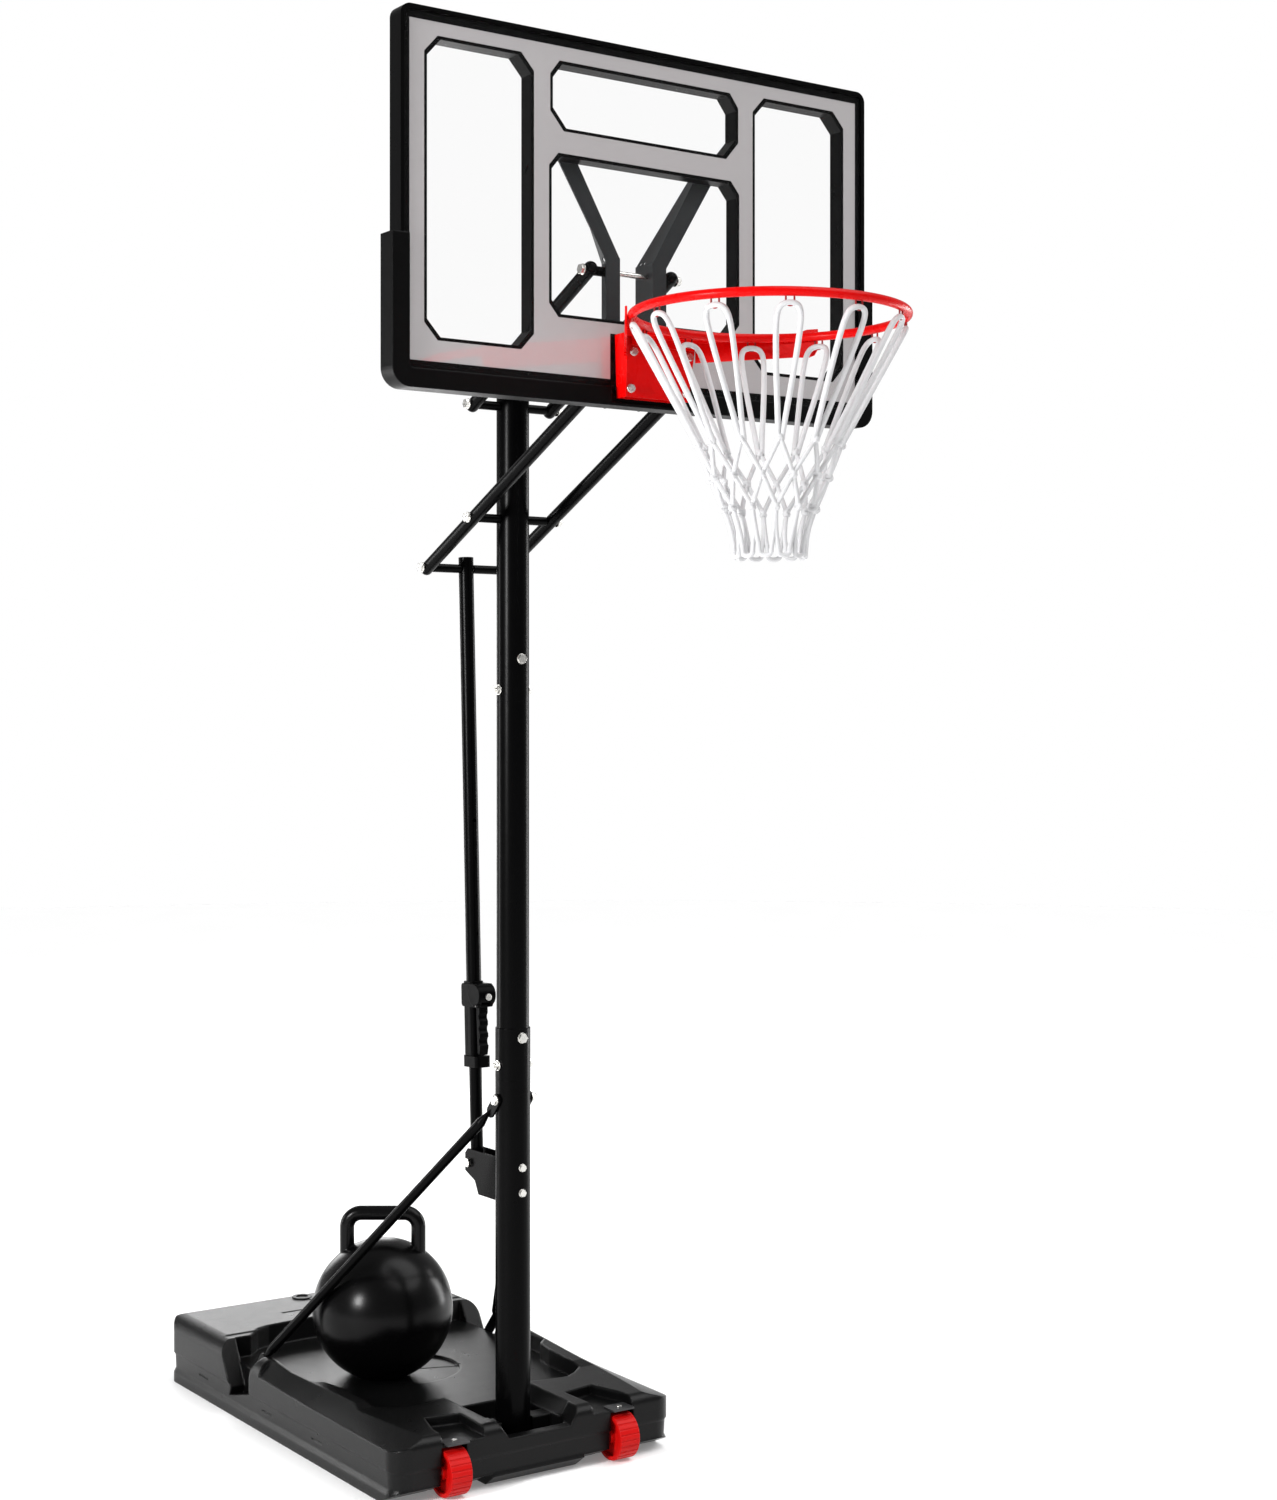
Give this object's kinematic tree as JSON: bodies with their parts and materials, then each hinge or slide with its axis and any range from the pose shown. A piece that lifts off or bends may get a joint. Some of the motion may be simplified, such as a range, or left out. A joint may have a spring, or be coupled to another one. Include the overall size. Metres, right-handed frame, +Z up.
{
  "type": "portable basketball hoop",
  "caption": "Free-standing basketball hoop: a water-filled wheeled base, braced pole, parallel lift arms with a sliding grip rod, windowed backboard, ring with net, and a lift-off ball weight.",
  "frame": {"origin": "on the floor under the pole's axis", "axes": "+Z up along the pole, -Y the way the board faces, +X to the right for someone facing the board"},
  "size_m": [1.076, 2.052, 2.74],
  "materials": {
    "tank_plastic": "textured matte",
    "ballast_water": "clear liquid",
    "cap_plastic": "matte",
    "wheel_plastic": "satin",
    "zinc_hardware": "zinc plated",
    "plate_steel": "matte",
    "black_tube": "semi-gloss powder coat",
    "grip_plastic": "satin",
    "bracket_steel": "satin",
    "board_frame": "semi-gloss",
    "print_film": "printed matte",
    "clear_plastic": "clear polycarbonate",
    "pad_rubber": "satin",
    "red_steel": "gloss powder coat",
    "hook_wire": "gloss",
    "net_cord": "braided cord",
    "ball_plastic": "gloss",
    "sand": "loose grains"
  },
  "bodies": {
    "base": {"base_tank": "tank_plastic", "water_fill": "ballast_water", "cap_tether": "cap_plastic", "wheel_axles": "zinc_hardware", "axle_plates": "plate_steel", "axle_screws": "zinc_hardware", "pole_lower": "black_tube", "pole_middle": "black_tube", "pole_upper": "black_tube", "pole_cap": "cap_plastic", "pole_bolts": "zinc_hardware", "pole_foot_pin": "zinc_hardware", "strut_left": "black_tube", "strut_right": "black_tube", "strut_top_bolt": "zinc_hardware", "strut_foot_bolts": "zinc_hardware", "pole_pivot_spacers": "black_tube", "lower_pivot_bolt": "zinc_hardware", "upper_pivot_bolt": "zinc_hardware", "rod_lower_bracket": "black_tube", "rod_bracket_bolts": "zinc_hardware", "rod_pivot_studs": "zinc_hardware"},
    "filler_cap": {"base_filler_cap": "cap_plastic"},
    "wheel_left": {"wheel_left": "wheel_plastic"},
    "wheel_right": {"wheel_right": "wheel_plastic"},
    "lower_arms": {"arm_lower_left": "black_tube", "arm_lower_right": "black_tube", "crossbar_tubes": "black_tube", "crossbar_bolt": "zinc_hardware"},
    "upper_arms": {"arm_upper_left": "black_tube", "arm_upper_right": "black_tube"},
    "backboard": {"front_pivot_bolts": "zinc_hardware", "front_pivot_spacers": "black_tube", "board_bracket_left": "bracket_steel", "board_bracket_right": "bracket_steel", "bracket_screws": "zinc_hardware", "board_core": "board_frame", "print_layer": "print_film", "clear_sheet": "clear_plastic", "border_trim": "board_frame", "edge_pad": "pad_rubber", "rim_bracket": "red_steel", "rim_ring": "red_steel", "rim_brace": "red_steel", "rim_bolts": "zinc_hardware", "net_hooks": "hook_wire", "net": "net_cord"},
    "rod_outer": {"lift_outer_tube": "black_tube", "grip_housing": "grip_plastic", "trigger_pin": "zinc_hardware", "lock_pin": "zinc_hardware"},
    "rod_inner": {"lift_inner_tube": "black_tube"},
    "trigger": {"trigger": "grip_plastic"},
    "ball": {"ball_shell": "ball_plastic", "ball_sand": "sand"},
    "ball_cap": {"ball_cap": "cap_plastic"}
  },
  "joints": [
    {"name": "height_lift", "type": "hinge", "parent": "base", "child": "lower_arms", "pos_m": [0, 0, 1.906], "axis": [1, 0, 0], "range_deg": [0, 45]},
    {"name": "upper_arm_swing", "type": "hinge", "parent": "base", "child": "upper_arms", "pos_m": [0, 0, 2.132], "axis": [1, 0, 0], "range_deg": [0, 45]},
    {"name": "board_level", "type": "hinge", "parent": "lower_arms", "child": "backboard", "pos_m": [0, -0.415, 2.108], "axis": [1, 0, 0], "range_deg": [-45, 0]},
    {"name": "rod_swing", "type": "hinge", "parent": "lower_arms", "child": "rod_outer", "pos_m": [0, 0.185, 1.81595], "axis": [1, 0, 0], "range_deg": [-46, 0]},
    {"name": "rod_slide", "type": "slide", "parent": "rod_outer", "child": "rod_inner", "axis": [0, -0.0367, -0.9993], "range_m": [0, 0.16]},
    {"name": "trigger_squeeze", "type": "hinge", "parent": "rod_outer", "child": "trigger", "pos_m": [0, 0.11791, 0.91503], "axis": [1, 0, 0], "range_deg": [0, 5], "stiffness_Nm_per_rad": 0.6, "springref_deg": -8.59},
    {"name": "wheel_left_spin", "type": "hinge", "parent": "base", "child": "wheel_left", "pos_m": [-0.196, -0.088, 0.049], "axis": [1, 0, 0], "continuous": true},
    {"name": "wheel_right_spin", "type": "hinge", "parent": "base", "child": "wheel_right", "pos_m": [0.196, -0.088, 0.049], "axis": [1, 0, 0], "continuous": true},
    {"name": "filler_cap_turn", "type": "hinge", "parent": "base", "child": "filler_cap", "pos_m": [0, 0.815, 0.127], "axis": [0, 0, 1], "range_deg": [0, 720]},
    {"name": "ball_lift_off", "type": "slide", "parent": "base", "child": "ball", "axis": [0.4, 0, 0.9165], "range_m": [0, 0.4]},
    {"name": "ball_cap_turn", "type": "hinge", "parent": "ball", "child": "ball_cap", "pos_m": [-0.01334, 0.49966, 0.33556], "axis": [0.4036, 0.5806, 0.7071], "range_deg": [0, 720]}
  ],
  "couplings": [
    {"joint": "upper_arm_swing", "follows": "height_lift", "ratio": 1},
    {"joint": "board_level", "follows": "height_lift", "ratio": -1},
    {"joint": "rod_swing", "follows": "height_lift", "ratio": -1.012},
    {"joint": "rod_slide", "follows": "height_lift", "m_per_rad": 0.2005}
  ]
}
